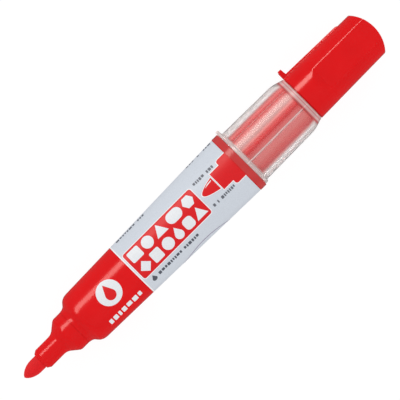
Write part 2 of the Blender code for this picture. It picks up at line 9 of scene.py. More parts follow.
import bmesh
import bpy
import numpy as np
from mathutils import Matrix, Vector


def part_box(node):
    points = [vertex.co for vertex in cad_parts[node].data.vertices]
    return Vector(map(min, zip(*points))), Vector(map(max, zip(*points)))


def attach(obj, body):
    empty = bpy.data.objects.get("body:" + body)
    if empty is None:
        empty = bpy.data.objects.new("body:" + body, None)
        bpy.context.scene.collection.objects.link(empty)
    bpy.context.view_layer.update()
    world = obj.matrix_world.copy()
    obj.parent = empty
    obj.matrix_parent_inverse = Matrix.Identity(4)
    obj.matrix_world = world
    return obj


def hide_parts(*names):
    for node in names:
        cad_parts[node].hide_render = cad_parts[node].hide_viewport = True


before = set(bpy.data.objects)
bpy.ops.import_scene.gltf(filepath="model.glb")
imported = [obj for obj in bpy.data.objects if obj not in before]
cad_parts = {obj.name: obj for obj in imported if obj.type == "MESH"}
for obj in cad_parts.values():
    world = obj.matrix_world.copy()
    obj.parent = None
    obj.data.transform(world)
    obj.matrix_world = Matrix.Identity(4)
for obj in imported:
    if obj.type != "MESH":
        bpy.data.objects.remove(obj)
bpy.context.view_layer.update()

MM = 0.001
STEPS = 192
SHARP_ANGLE = math.radians(38)
HALF_LENGTH = 75.0
CURVE_STEPS = 12
FIT = 0.06  # room between pieces that fit into each other
TINY = 1e-6

# The pen's axis and the ends of its pieces, from the frame.
NIB_POINT_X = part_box("nib")[0].x
AXIS = sum(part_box("nose_cone"), Vector()) / 2


def along(x):
    """Millimetres from the nib's point of a place on the world's X axis."""
    return (x - NIB_POINT_X) / MM


def span(node):
    """Where a node starts and ends along the pen."""
    low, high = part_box(node)
    return along(low.x), along(high.x)


def reach(node):
    """A turned node's largest radius."""
    low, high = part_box(node)
    return (high.y - low.y) / 2 / MM


# Nib and nose cone
NIB_R = reach("nib")
NIB_END_Z = span("nib")[1]
NIB_TAPER = 5.0
NIB_BLUNTNESS = 0.68
NIB_SOCKET_Z = 13.0
CORE_BORE_R = 1.15
NOSE_Z, NOSE_END_Z = span("nose_cone")
NIB_BORE_R = NIB_R + FIT
NIB_STOP_Z = NIB_END_Z + 0.3
NIB_WEB_END_Z = NIB_END_Z + 2
MOUTH_R = 2.8
TUBE_R = 3.52
TUBE_Z = NOSE_Z + 1.15
FLARE_Z = 13.6
CONE_FOOT, CONE_TOP = (16.0, 4.5), (17.6, 5.78)
NECK_Z = 18.9
NECK_R = reach("nose_cone")
PLUG_R = 5.6
PLUG_BORE_R = 3.1

# Barrel
SEAM = 0.25  # how far the barrel's front edge moves towards the nose, to follow the photograph
BARREL_Z, RING_END_Z = span("barrel")[0] - SEAM, 93.3
NECK_END_Z = BARREL_Z - 0.04
SHOULDER_KNEE, SHOULDER_SLOPE = (23.2, 6.9), (23.8, 7.6)
GRIP_Z = 26.9
GRIP_FRONT_R = 9.0
GRIP_REAR_R = 9.45
LABEL_Z, LABEL_END_Z = span("label_film")[0], 90.8
LABEL_FRONT_R = 9.43
LABEL_REAR_R = reach("label_film")
RING_Z = LABEL_END_Z + 0.05
RING_R = AXIS.z / MM
FILM = 0.15
BARREL_STOP_Z = NOSE_END_Z + 0.3
BARREL_BORE_R = 7.85
THREAD_BORE_R = 8.85

# Screw thread
THREAD_LEAD = 3.0
THREAD_Z = 86.2
THREAD_TURNS = 1.6
THREAD_PITCH_R = 8.7
RIDGE_R = 0.45
GROOVE_R = 0.6
THREAD_STEP = 0.12  # between the points that draw the ridge and the groove

# Tail cover
COLLAR_Z, SPIGOT_END_Z = span("tail_cover")
COLLAR_R = 8.7
THREAD_BORE_END_Z = COLLAR_Z - 0.3
FLANGE_Z = RING_END_Z + FIT
FLANGE_END_Z = 94.35
FLANGE_R = 10.27
TAIL_FRONT_R = 9.66
TAIL_REAR_R = 9.38
TAIL_SHOULDER_Z = 114.3
TAIL_END_Z = 119.25
TAIL_END_R = 8.15
TAIL_BORE_R = 7.95
TAIL_BORE_END_Z = 117.9
SPIGOT_R = 6.35
SPIGOT_BORE_R = 5.2
SPIGOT_FLOOR_Z = SPIGOT_END_Z - 1.2
RIB_ANGLES = [math.radians(106 + 60 * i) for i in range(6)]
RIB_TOP_R = 7.75
RIB_WIDTH = 0.6
RIB_Z, RIB_END_Z = 95.2, 116.8
LUG_R = 11.44
LUG_WIDTH = 3.0

# Cartridge
BOTTLE_Z, BOTTLE_END_Z = span("cartridge_bottle")
BOTTLE_R = reach("cartridge_bottle")
BOTTLE_NECK_R = 3.6
BOTTLE_NECK_END_Z = 77.0
BOTTLE_SHOULDER_Z = 80.5
BOTTLE_WALL = 0.8

# Cap: its ends lie a little inside the CAD's, to follow the photograph
CAP_Z, CAP_END_Z = 119.35, span("cap_shell")[1] - 0.15
CAP_RIM_R = 8.3
CAP_RIM_EDGE = 0.15
CAP_END_R = 7.95
CAP_CORNER_Z = 146.9
CAP_CORNER_EDGE = 0.22
CAP_ARCH_Z = CAP_CORNER_Z - 0.6  # where the last stretch before the arched end starts
CAP_SEAT_R = 7.05
CAP_SEAT_END_Z = 126.4
CAP_CORE_R = 5.65
CAP_CORE_Z, CAP_CORE_END_Z = 127.6, 147.0
FLAT_HALF_WIDTH = 4.05
FLAT_Z, FLAT_FULL_Z = 125.2, 127.8
SPINE_HALF_WIDTH = 1.2
SPINE_Z, SPINE_END_Z = 120.6, 141.6
SPINE_FRONT_X, SPINE_REAR_X = 8.89, 8.38
TAB_Z, TAB_END_Z = 119.5, 120.85
TAB_X = 10.97
TAB_HALF_WIDTH = 1.7
QUARTER = math.pi / 2
TAB_HALF_ANGLE = math.atan(TAB_HALF_WIDTH / TAB_X)

# Cap liner
LINER_Z, LINER_END_Z = span("cap_liner")
LINER_SEAT_R = reach("cap_liner")
LINER_SEAL_R = 6.5
LINER_CORE_R = 5.5
LINER_BORE_R = 4.9
LINER_WALL = 0.8

# Printing
PRINT_ROOT = 0.04  # how deep a printed piece starts below the surface
PRINT_CUT_U, PRINT_CUT_V = 4.0, 0.4  # the widest it goes unbent along the pen and round it

# Photograph: the view's width, the pen's turn in it and the camera's place over the pen
VIEW_WIDTH = 121.2
PEN_TURN = math.radians(45.1)
CAMERA_X, CAMERA_Y = 0.63, -0.07
LENS, SENSOR = 800, 36


def to_world(points):
    """World places of pen points (z, x, y)."""
    z, x, y = np.asarray(points, float).T
    return np.column_stack([NIB_POINT_X + z * MM, AXIS.y + x * MM, AXIS.z + y * MM])


# ---------------------------------------------------------------- mesh tools


def rounded(corners):
    """A path with its corners rounded. A corner is (z, r), or (z, r, radius) if it is rounded."""
    path = []
    for i, corner in enumerate(corners):
        here = np.array(corner[:2], float)
        radius = corner[2] if len(corner) > 2 else 0
        if not radius or i in (0, len(corners) - 1):
            path.append(tuple(here))
            continue
        back = np.array(corners[i - 1][:2], float) - here
        ahead = np.array(corners[i + 1][:2], float) - here
        room = 0.49 * min(np.linalg.norm(back), np.linalg.norm(ahead))
        back /= np.linalg.norm(back)
        ahead /= np.linalg.norm(ahead)
        half = math.acos(np.clip(back @ ahead, -1, 1)) / 2
        tangent = min(radius / math.tan(half), room)
        radius = tangent * math.tan(half)
        bisector = (back + ahead) / np.linalg.norm(back + ahead)
        centre = here + bisector * radius / math.sin(half)
        first = here + back * tangent - centre
        last = here + ahead * tangent - centre
        sweep = math.pi - 2 * half
        count = 2 + math.ceil(sweep / math.radians(15))
        for k in range(count + 1):
            share = k / count
            weight_first = math.sin((1 - share) * sweep) / math.sin(sweep)
            weight_last = math.sin(share * sweep) / math.sin(sweep)
            path.append(tuple(centre + first * weight_first + last * weight_last))
    return path


def curve_between(start, start_handle, end_handle, end):
    """Points after start up to end on a Bezier curve."""
    corners = np.array([start, start_handle, end_handle, end], float)
    points = []
    for i in range(1, CURVE_STEPS + 1):
        t = i / CURVE_STEPS
        weights = np.array([(1 - t) ** 3, 3 * t * (1 - t) ** 2, 3 * t * t * (1 - t), t**3])
        points.append(tuple(weights @ corners))
    return points


def dense(path, start, end, step):
    """The path with more points on its stretches between start and end along the pen."""
    filled = [path[0]]
    for before, after in zip(path, path[1:]):
        middle = (before[0] + after[0]) / 2
        count = math.ceil(abs(after[0] - before[0]) / step) if start < middle < end else 1
        for i in range(1, count + 1):
            share = i / count
            filled.append(tuple(before[k] + share * (after[k] - before[k]) for k in (0, 1)))
    return filled


def ring_angles(*features):
    """Even angles round the axis, with closer ones at each (angle, half width) of a feature."""
    angles = {round(math.tau * i / STEPS, 5) for i in range(STEPS)}
    for middle, half in features:
        for side in (-1, 1):
            for offset in (0.78, 0.9, 0.97, 1.03, 1.1, 1.22):
                angles.add(round((middle + side * half * offset) % math.tau, 5))
    angles = np.array(sorted(angles))
    return angles[np.append(np.diff(angles), math.tau - angles[-1]) > 1e-4]


def linked_object(name, mesh):
    """A smooth object of a mesh, with its sharp edges kept."""
    mesh.shade_smooth()
    mesh.set_sharp_from_angle(angle=SHARP_ANGLE)
    obj = bpy.data.objects.new(name, mesh)
    bpy.context.scene.collection.objects.link(obj)
    return obj


def mesh_object(name, points, faces):
    """A closed mesh from pen points, with its faces turned out."""
    mesh = bpy.data.meshes.new(name)
    mesh.from_pydata(to_world(points).tolist(), [], faces)
    shape = bmesh.new()
    shape.from_mesh(mesh)
    bmesh.ops.recalc_face_normals(shape, faces=shape.faces)
    shape.to_mesh(mesh)
    shape.free()
    return linked_object(name, mesh)


def skin(rows):
    """Points and faces of a surface through rows of points. A row of one point is a pole. Without a pole at
    either end, the last row joins the first."""
    points = []
    starts = []
    faces = []
    for row in rows:
        starts.append(len(points))
        points.extend(row)
    closed = len(rows[0]) > 1 and len(rows[-1]) > 1
    for i in range(len(rows) if closed else len(rows) - 1):
        j = (i + 1) % len(rows)
        count = max(len(rows[i]), len(rows[j]))
        for k in range(count):
            after = (k + 1) % count
            if len(rows[i]) == 1:
                faces.append((starts[i], starts[j] + k, starts[j] + after))
            elif len(rows[j]) == 1:
                faces.append((starts[i] + k, starts[j], starts[i] + after))
            else:
                faces.append((starts[i] + k, starts[j] + k, starts[j] + after, starts[i] + after))
    return points, faces


def turned(name, path, angles=None, relief=None):
    """A body turned about the axis from a path of (z, r), which starts and ends on the axis or is closed.
    relief(z, r, angles) gives the radii where the body isn't round."""
    angles = ring_angles() if angles is None else angles
    rows = []
    for z, r in path:
        if r < TINY:
            rows.append([(z, 0.0, 0.0)])
            continue
        radii = np.full(len(angles), float(r)) if relief is None else relief(z, r, angles)
        x, y = radii * np.cos(angles), radii * np.sin(angles)
        rows.append(np.column_stack([np.full(len(angles), z), x, y]).tolist())
    return mesh_object(name, *skin(rows))


def place(obj, body, slot, look, *nodes):
    """obj takes its material, moves with a body, and stands for these CAD nodes."""
    obj.data.materials.clear()
    obj.data.materials.append(look)
    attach(obj, body)
    if nodes:
        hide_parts(*nodes)
    return obj


def off_helix(z, angles, turns=None):
    """How far along the pen each place is from the thread's line, and which turn of it is nearest."""
    first = THREAD_Z + THREAD_LEAD * angles / math.tau
    turn = np.round((z - first) / THREAD_LEAD)
    if turns is not None:
        turn = np.clip(turn, 0, np.floor(turns - angles / math.tau))
    return np.abs(z - first - turn * THREAD_LEAD), turn + angles / math.tau


def angle_gap(angles, middle):
    return np.abs((angles - middle + math.pi) % math.tau - math.pi)


def smoothstep(low, high, value):
    t = np.clip((value - low) / (high - low), 0, 1)
    return t * t * (3 - 2 * t)


def soft_min(a, b, width):
    """The smaller of two values, blended where they are closer than width."""
    h = np.clip(0.5 + 0.5 * (b - a) / width, 0, 1)
    return b + (a - b) * h - width * h * (1 - h)


def soft_max(a, b, width):
    return -soft_min(-a, -b, width)


# ---------------------------------------------------------------- materials


def new_material(name):
    made = bpy.data.materials.new(name)
    made.use_nodes = True
    return made, made.node_tree.nodes, made.node_tree.links


def noise(nodes, links, scale, detail=3.0, stretch=(1, 1, 1)):
    """A noise texture in the object's own space. Its scale is in features per millimetre."""
    coords = nodes.new("ShaderNodeTexCoord")
    mapping = nodes.new("ShaderNodeMapping")
    mapping.inputs["Scale"].default_value = [scale * s / MM for s in stretch]
    texture = nodes.new("ShaderNodeTexNoise")
    texture.inputs["Scale"].default_value = 1.0
    texture.inputs["Detail"].default_value = detail
    links.new(coords.outputs["Object"], mapping.inputs["Vector"])
    links.new(mapping.outputs["Vector"], texture.inputs["Vector"])
    return texture.outputs["Fac"]


def ramp(nodes, links, source, stops):
    """Colours or greys spread over a value, from (position, value) stops."""
    made = nodes.new("ShaderNodeValToRGB")
    while len(made.color_ramp.elements) < len(stops):
        made.color_ramp.elements.new(0.5)
    for element, (position, value) in zip(made.color_ramp.elements, stops):
        element.position = position
        element.color = (*value, 1) if hasattr(value, "__len__") else (value, value, value, 1)
    links.new(source, made.inputs["Fac"])
    return made.outputs["Color"]


def bump(nodes, links, source, strength, distance):
    """Surface relief from a value. distance is in millimetres."""
    made = nodes.new("ShaderNodeBump")
    made.inputs["Strength"].default_value = strength
    made.inputs["Distance"].default_value = distance * MM
    links.new(source, made.inputs["Height"])
    return made.outputs["Normal"]


def shade(colour, amount):
    return tuple(max(0.0, min(1.0, c * amount)) for c in colour)


def moulded(name, colour, roughness, grain=2.2, relief=0.003, variation=0.03, specular=0.45):
    """Moulded plastic: faint cloudiness in its colour, uneven gloss, and a fine skin."""
    made, nodes, links = new_material(name)
    shader = nodes["Principled BSDF"]
    cloud = noise(nodes, links, 0.12, 4.0)
    spread = [(0.3, shade(colour, 1 - variation)), (0.7, shade(colour, 1 + variation))]
    links.new(ramp(nodes, links, cloud, spread), shader.inputs["Base Color"])
    scuff = noise(nodes, links, 0.5, 5.0, (0.4, 1, 1))
    gloss = [(0.3, roughness * 0.92), (0.75, roughness * 1.12)]
    links.new(ramp(nodes, links, scuff, gloss), shader.inputs["Roughness"])
    links.new(bump(nodes, links, noise(nodes, links, grain), 0.5, relief), shader.inputs["Normal"])
    shader.inputs["Specular IOR Level"].default_value = specular
    return made


def ring_faded(name, colour, roughness):
    """The barrel's plastic, which turns milky at its rear ring."""
    made = moulded(name, colour, roughness)
    nodes, links = made.node_tree.nodes, made.node_tree.links
    base = nodes["Principled BSDF"].inputs["Base Color"]
    blend = nodes.new("ShaderNodeMix")
    blend.data_type = "RGBA"
    # The colour sockets of a Mix node share their names with its other kinds, so they go by number.
    plain, faded, blended = blend.inputs[6], blend.inputs[7], blend.outputs[2]
    station = across(nodes, links, "X", RING_Z - 0.4 - HALF_LENGTH, RING_Z + 0.5 - HALF_LENGTH)
    links.new(station, blend.inputs["Factor"])
    links.new(base.links[0].from_socket, plain)
    milky = [(0.3, (0.60, 0.045, 0.045)), (0.7, (0.64, 0.055, 0.055))]
    links.new(ramp(nodes, links, noise(nodes, links, 0.3), milky), faded)
    links.new(blended, base)
    return made


def felt(name, colour, scale):
    """Pressed fibre wet with ink: streaks along the pen, dark pits and no gloss."""
    made, nodes, links = new_material(name)
    shader = nodes["Principled BSDF"]
    streaks = noise(nodes, links, scale, 5.0, (0.25, 1, 1))
    tones = [(0.3, shade(colour, 0.8)), (0.55, colour), (0.8, shade(colour, 1.15))]
    links.new(ramp(nodes, links, streaks, tones), shader.inputs["Base Color"])
    links.new(bump(nodes, links, streaks, 0.6, 0.06), shader.inputs["Normal"])
    shader.inputs["Roughness"].default_value = 0.8
    shader.inputs["Specular IOR Level"].default_value = 0.25
    shader.inputs["Sheen Weight"].default_value = 0.06
    return made


def across(nodes, links, axis, low, high):
    """0 to 1 between two values of one of the object's own coordinates, in millimetres."""
    coords = nodes.new("ShaderNodeTexCoord")
    split = nodes.new("ShaderNodeSeparateXYZ")
    links.new(coords.outputs["Object"], split.inputs["Vector"])
    spread = nodes.new("ShaderNodeMapRange")
    spread.inputs["From Min"].default_value = low * MM
    spread.inputs["From Max"].default_value = high * MM
    links.new(split.outputs[axis], spread.inputs["Value"])
    return spread.outputs["Result"]


# How the tail cover's tint and clearness change along the pen, as (station, value): collar, flange, wall,
# shoulder lines and spigot.
# The shoulder lines are painted: rosy highlight lines and deep red reflections of the red cap and ink, where
# the cover is made less clear so that they show.
COVER_Z = (84.0, 126.0)
WALL_TINT, ROSY_PAINTED_HIGHLIGHT, DEEP_RED_PAINTED_REFLECTION = (0.945, 0.865, 0.855), (0.97, 0.68, 0.66), (0.76, 0.09, 0.10)
COVER_TINTS = [
    (93.2, WALL_TINT),
    (93.4, (0.92, 0.82, 0.80)),
    (94.6, (0.94, 0.82, 0.80)),
    (95.5, WALL_TINT),
    (116.4, WALL_TINT),
    # Painted shoulder bands: rosy highlight lines and deep red reflections of the red cap and ink.
    (116.9, ROSY_PAINTED_HIGHLIGHT),
    (117.2, DEEP_RED_PAINTED_REFLECTION),
    (117.5, DEEP_RED_PAINTED_REFLECTION),
    (117.8, ROSY_PAINTED_HIGHLIGHT),
    (118.3, ROSY_PAINTED_HIGHLIGHT),
    (118.5, DEEP_RED_PAINTED_REFLECTION),
    (118.75, ROSY_PAINTED_HIGHLIGHT),
    (119.3, ROSY_PAINTED_HIGHLIGHT),
    (119.8, WALL_TINT),
]
COVER_CLEARNESS = [
    (93.2, 0.95),
    (93.4, 0.45),
    (94.5, 0.6),
    (95.1, 0.99),
    (117.0, 0.99),
    # Lowered at the shoulder so that its painted bands show.
    (117.3, 0.5),
    (119.3, 0.3),
    (119.8, 0.92),
]


def cover_stops(stops):
    """Ramp stops for the tail cover, from stations along the pen."""
    return [((z - COVER_Z[0]) / (COVER_Z[1] - COVER_Z[0]), value) for z, value in stops]


def clear_plastic(name):
    """Clear plastic, hazy at its flange, shoulder and a rib. Its shoulder carries painted highlight lines and
    painted reflections of the red cap and ink, and its hazier rib stripe is a painted highlight line. Its
    coat stands for the gloss of both walls.
    """
    made, nodes, links = new_material(name)
    shader = nodes["Principled BSDF"]
    haze = noise(nodes, links, 0.35, 5.0, (0.3, 1, 1))
    links.new(ramp(nodes, links, haze, [(0.35, 0.03), (0.75, 0.06)]), shader.inputs["Roughness"])
    ripple = noise(nodes, links, 0.06, 2.0, (0.3, 1, 1))
    links.new(bump(nodes, links, ripple, 0.12, 0.006), shader.inputs["Normal"])
    station = across(nodes, links, "X", COVER_Z[0] - HALF_LENGTH, COVER_Z[1] - HALF_LENGTH)
    links.new(ramp(nodes, links, station, cover_stops(COVER_TINTS)), shader.inputs["Base Color"])
    clearness = ramp(nodes, links, station, cover_stops(COVER_CLEARNESS))
    # A hazier stripe over the top rib paints a bright highlight line along it.
    rib = AXIS.y / MM + RIB_TOP_R * math.cos(RIB_ANGLES[0])
    beside = across(nodes, links, "Y", rib - 1.0, rib + 1.0)
    rib_painted_highlight = ramp(nodes, links, beside, [(0.40, 1.0), (0.45, 0.5), (0.53, 0.5), (0.58, 1.0)])
    graze = nodes.new("ShaderNodeLayerWeight")
    rim = ramp(nodes, links, graze.outputs["Facing"], [(0.36, 1.0), (0.48, 0.55), (1.0, 0.35)])
    for factor in (rib_painted_highlight, rim):
        both = nodes.new("ShaderNodeMath")
        both.operation = "MULTIPLY"
        links.new(clearness, both.inputs[0])
        links.new(factor, both.inputs[1])
        clearness = both.outputs["Value"]
    links.new(clearness, shader.inputs["Transmission Weight"])
    shader.inputs["IOR"].default_value = 1.47
    shader.inputs["Specular Tint"].default_value = (0.15, 0.13, 0.13, 1)
    shader.inputs["Coat Weight"].default_value = 1.0
    shader.inputs["Coat IOR"].default_value = 1.65
    shader.inputs["Coat Roughness"].default_value = 0.34
    return made


def ink_and_painted_highlight_bottle(name):
    """Red bottle plastic in deep red and pink bands across it, from the side away from the lugs to the lug
    side, with a painted highlight where the key strip's reflection falls.
    """
    made, nodes, links = new_material(name)
    shader = nodes["Principled BSDF"]
    middle = AXIS.y / MM
    level = across(nodes, links, "Y", middle - BOTTLE_R, middle + BOTTLE_R)
    sway = nodes.new("ShaderNodeMath")
    sway.operation = "MULTIPLY_ADD"
    sway.inputs[1].default_value = 0.02
    links.new(noise(nodes, links, 0.15, 2.0, (0.3, 1, 1)), sway.inputs[0])
    links.new(level, sway.inputs[2])
    # The bands across the bottle include a painted highlight where the key strip's reflection falls.
    links.new(ramp(nodes, links, sway.outputs["Value"], BOTTLE_INK_AND_PAINTED_HIGHLIGHT), shader.inputs["Base Color"])
    scuff = noise(nodes, links, 0.5, 4.0)
    links.new(ramp(nodes, links, scuff, [(0.3, 0.3), (0.7, 0.36)]), shader.inputs["Roughness"])
    links.new(bump(nodes, links, noise(nodes, links, 1.5), 0.3, 0.004), shader.inputs["Normal"])
    shader.inputs["Specular IOR Level"].default_value = 0.06
    return made


def printed(name, colour, roughness=0.4):
    """Printing ink, or printed film: nearly flat, with the faint mottle of a solid printed area."""
    made, nodes, links = new_material(name)
    shader = nodes["Principled BSDF"]
    mottle = noise(nodes, links, 3.0, 4.0)
    tones = [(0.3, shade(colour, 0.95)), (0.7, shade(colour, 1.04))]
    links.new(ramp(nodes, links, mottle, tones), shader.inputs["Base Color"])
    gloss = [(0.3, roughness * 0.9), (0.7, roughness * 1.1)]
    links.new(ramp(nodes, links, noise(nodes, links, 0.5), gloss), shader.inputs["Roughness"])
    shader.inputs["Specular IOR Level"].default_value = 0.3
    return made


RED = (0.81, 0.002, 0.004)
# Colours of the bottle across it, from the side away from the lugs to the lug side: deep red and pink bands,
# and from 0.62 to 0.76 a painted highlight.
BOTTLE_INK_AND_PAINTED_HIGHLIGHT = [
    (0.05, (0.92, 0.42, 0.40)),
    (0.09, (0.80, 0.08, 0.09)),
    (0.14, (0.98, 0.16, 0.16)),
    (0.25, (0.98, 0.31, 0.30)),
    (0.34, (0.95, 0.30, 0.30)),
    (0.39, (0.92, 0.27, 0.28)),
    (0.44, (0.96, 0.20, 0.20)),
    (0.50, (0.78, 0.012, 0.018)),
    (0.55, (0.92, 0.05, 0.06)),
    (0.59, (0.82, 0.11, 0.11)),
    # Painted highlight: a pale band and a greyish stretch under the key strip's reflection.
    (0.62, (0.96, 0.32, 0.31)),
    (0.67, (0.58, 0.26, 0.26)),
    (0.76, (0.56, 0.20, 0.20)),
    (0.80, (0.66, 0.08, 0.09)),
    (0.85, (0.66, 0.01, 0.015)),
    (0.89, (0.70, 0.03, 0.04)),
    (0.92, (0.86, 0.16, 0.16)),
    (0.96, (0.62, 0.11, 0.11)),
]
LOOKS = {
    "cap": moulded("cap_plastic", RED, 0.15, specular=0.62),
    "barrel": ring_faded("barrel_plastic", (0.80, 0.004, 0.006), 0.17),
    "nose": moulded("nose_plastic", (0.81, 0.004, 0.006), 0.17),
    "nib": felt("nib_felt", (0.82, 0.006, 0.010), 5.0),
    "fibre": felt("relay_felt", (0.6, 0.02, 0.02), 4.0),
    "film": printed("label_film_plastic", (0.68, 0.725, 0.795), 0.42),
    "white_print": printed("white_ink_print", (0.86, 0.88, 0.91)),
    "bright_print": printed("bright_ink_print", (0.97, 0.97, 0.98)),
    "grey_print": printed("grey_ink_print", (0.15, 0.16, 0.19)),
    "red_print": printed("red_ink_print", (0.79, 0.008, 0.012), 0.38),
    "dark_print": printed("dark_ink_print", (0.10, 0.11, 0.14)),
    "violet_print": printed("violet_ink_print", (0.28, 0.22, 0.34)),
    "clear": clear_plastic("clear_tail_plastic"),
    "bottle": ink_and_painted_highlight_bottle("bottle_ink_painted_highlight_plastic"),
    "natural": moulded("natural_plastic", (0.80, 0.80, 0.76), 0.42),
    "liner": moulded("liner_plastic", (0.78, 0.76, 0.72), 0.4),
    "rubber": moulded("seal_rubber", (0.03, 0.03, 0.032), 0.6, grain=4.0, relief=0.01, variation=0.2),
}


# ---------------------------------------------------------------- pieces


def nib():
    path = [(0.0, 0.0)]
    count = 28
    for i in range(1, count + 1):
        z = NIB_TAPER * (i / count) ** 1.7
        u = 1 - z / NIB_TAPER
        path.append((z, NIB_R * (1 - u * u) ** NIB_BLUNTNESS))
    path += rounded([
        path[-1],
        (NIB_END_Z, NIB_R, 0.2),
        (NIB_END_Z, CORE_BORE_R, 0.1),
        (NIB_SOCKET_Z, CORE_BORE_R),
        (NIB_SOCKET_Z, 0),
    ])[1:]
    place(turned("felt_nib", path), "barrel", "inked_felt", LOOKS["nib"], "nib")


def nose_cone():
    mouth = rounded([
        (NIB_STOP_Z, NIB_BORE_R),
        (NOSE_Z, NIB_BORE_R, 0.1),
        (NOSE_Z, MOUTH_R, 0.15),
        (TUBE_Z, TUBE_R, 0.4),
        (FLARE_Z, TUBE_R),
    ])
    flare = curve_between(mouth[-1], (14.6, TUBE_R), (15.4, 3.96), CONE_FOOT)
    flare += curve_between(CONE_TOP, (17.95, 6.1), (18.4, NECK_R), (NECK_Z, NECK_R))
    plug = rounded([
        (NECK_Z, NECK_R),
        (NECK_END_Z, NECK_R, 0.04),
        (NECK_END_Z, PLUG_R),
        (NOSE_END_Z, PLUG_R, 0.4),
        (NOSE_END_Z, PLUG_BORE_R),
        (NIB_WEB_END_Z, PLUG_BORE_R),
        (NIB_WEB_END_Z, CORE_BORE_R),
        (NIB_STOP_Z, CORE_BORE_R),
    ])
    path = mouth + flare + plug[1:]
    place(turned("nose_moulding", path), "barrel", "nose_red", LOOKS["nose"], "nose_cone")


def label_r(z):
    """Radius of the label's surface, a straight taper."""
    taper = (LABEL_REAR_R - LABEL_FRONT_R) / (LABEL_END_Z - LABEL_Z)
    return LABEL_FRONT_R + taper * (z - LABEL_Z)


def grip_r(z):
    """Radius of the grip's straight part."""
    taper = (GRIP_REAR_R - GRIP_FRONT_R) / (LABEL_Z - GRIP_Z)
    return GRIP_FRONT_R + taper * (z - GRIP_Z)


def barrel():
    recess = FILM + FIT
    recess_z = LABEL_Z - 0.02
    socket_r = PLUG_R + 0.03
    front = rounded([
        (BARREL_STOP_Z, socket_r),
        (BARREL_Z, socket_r),
        (BARREL_Z, NECK_R + FIT, 0.05),
        (22.0, NECK_R + 0.1),
    ])
    slope = curve_between(front[-1], (22.5, 6.5), (22.9, 6.7), SHOULDER_KNEE)
    slope += curve_between(SHOULDER_SLOPE, (24.4, 8.4), (25.3, 8.93), (GRIP_Z, GRIP_FRONT_R))
    body = rounded([
        (GRIP_Z, GRIP_FRONT_R),
        (recess_z, GRIP_REAR_R, 0.05),
        (recess_z, label_r(LABEL_Z) - recess),
        (RING_Z, label_r(RING_Z) - recess),
        (RING_Z, RING_R, 0.3),
        (RING_END_Z, RING_R, 0.3),
        (RING_END_Z, THREAD_BORE_R, 0.15),
    ])
    bore = [(RING_END_Z - 0.2, THREAD_BORE_R), (THREAD_BORE_END_Z, THREAD_BORE_R)]
    bore = dense(bore, THREAD_BORE_END_Z, RING_END_Z, THREAD_STEP)
    bore += [(THREAD_BORE_END_Z, BARREL_BORE_R), (BARREL_STOP_Z, BARREL_BORE_R)]

    def groove(z, r, angles):
        radii = np.full(len(angles), float(r))
        if abs(r - THREAD_BORE_R) < TINY and THREAD_Z - 0.5 < z < RING_END_Z - 0.1:
            gap, _ = off_helix(z, angles)
            depth = THREAD_PITCH_R + np.sqrt(np.clip(GROOVE_R**2 - gap**2, 0, None))
            radii = soft_max(radii, depth, 0.06)
        return radii

    path = front + slope + body[1:] + bore[1:]
    obj = turned("barrel_moulding", path, relief=groove)
    place(obj, "barrel", "barrel_red", LOOKS["barrel"], "barrel")


def label():
    front, rear = LABEL_Z, LABEL_END_Z
    path = rounded([
        (rear, label_r(rear) - FILM),
        (front, label_r(front) - FILM),
        (front, label_r(front), 0.05),
        (rear, label_r(rear), 0.05),
        (rear, label_r(rear) - FILM),
    ])[:-1]
    place(turned("label_wrap", path), "barrel", "printed_film", LOOKS["film"], "label_film")


def tail_path():
    """The tail cover's outline: bore from front to back, then outside from back to front."""
    shell = rounded([
        (COLLAR_Z, TAIL_BORE_R),
        (COLLAR_Z, COLLAR_R, 0.3),
        (FLANGE_Z, COLLAR_R, 0.1),
        (FLANGE_Z, FLANGE_R, 0.2),
        (FLANGE_END_Z, FLANGE_R, 0.3),
        (FLANGE_END_Z + 0.15, TAIL_FRONT_R, 0.25),
        (TAIL_SHOULDER_Z, TAIL_REAR_R),
    ])
    shoulder_end = (TAIL_END_Z - 0.2, TAIL_END_R + 0.1)
    shoulder = curve_between(shell[-1], (116.0, 9.3), (117.2, 8.75), shoulder_end)
    rest = rounded([
        shoulder_end,
        (TAIL_END_Z, TAIL_END_R - 0.1, 0.15),
        (TAIL_END_Z, SPIGOT_R, 0.2),
        (SPIGOT_END_Z, SPIGOT_R, 0.5),
        (SPIGOT_END_Z, 0.0),
    ])
    bore = rounded([
        (SPIGOT_FLOOR_Z, 0.0),
        (SPIGOT_FLOOR_Z, SPIGOT_BORE_R, 0.4),
        (TAIL_BORE_END_Z, SPIGOT_BORE_R, 0.2),
        (TAIL_BORE_END_Z, TAIL_BORE_R, 0.5),
        (COLLAR_Z, TAIL_BORE_R),
    ])
    outside = dense(shell, COLLAR_Z + 0.3, FLANGE_Z - 0.1, THREAD_STEP) + shoulder + rest[1:]
    inside = dense(bore, RIB_Z - 1, RIB_END_Z + 1, 0.4)
    return list(reversed(outside)) + list(reversed(inside))[:-1]


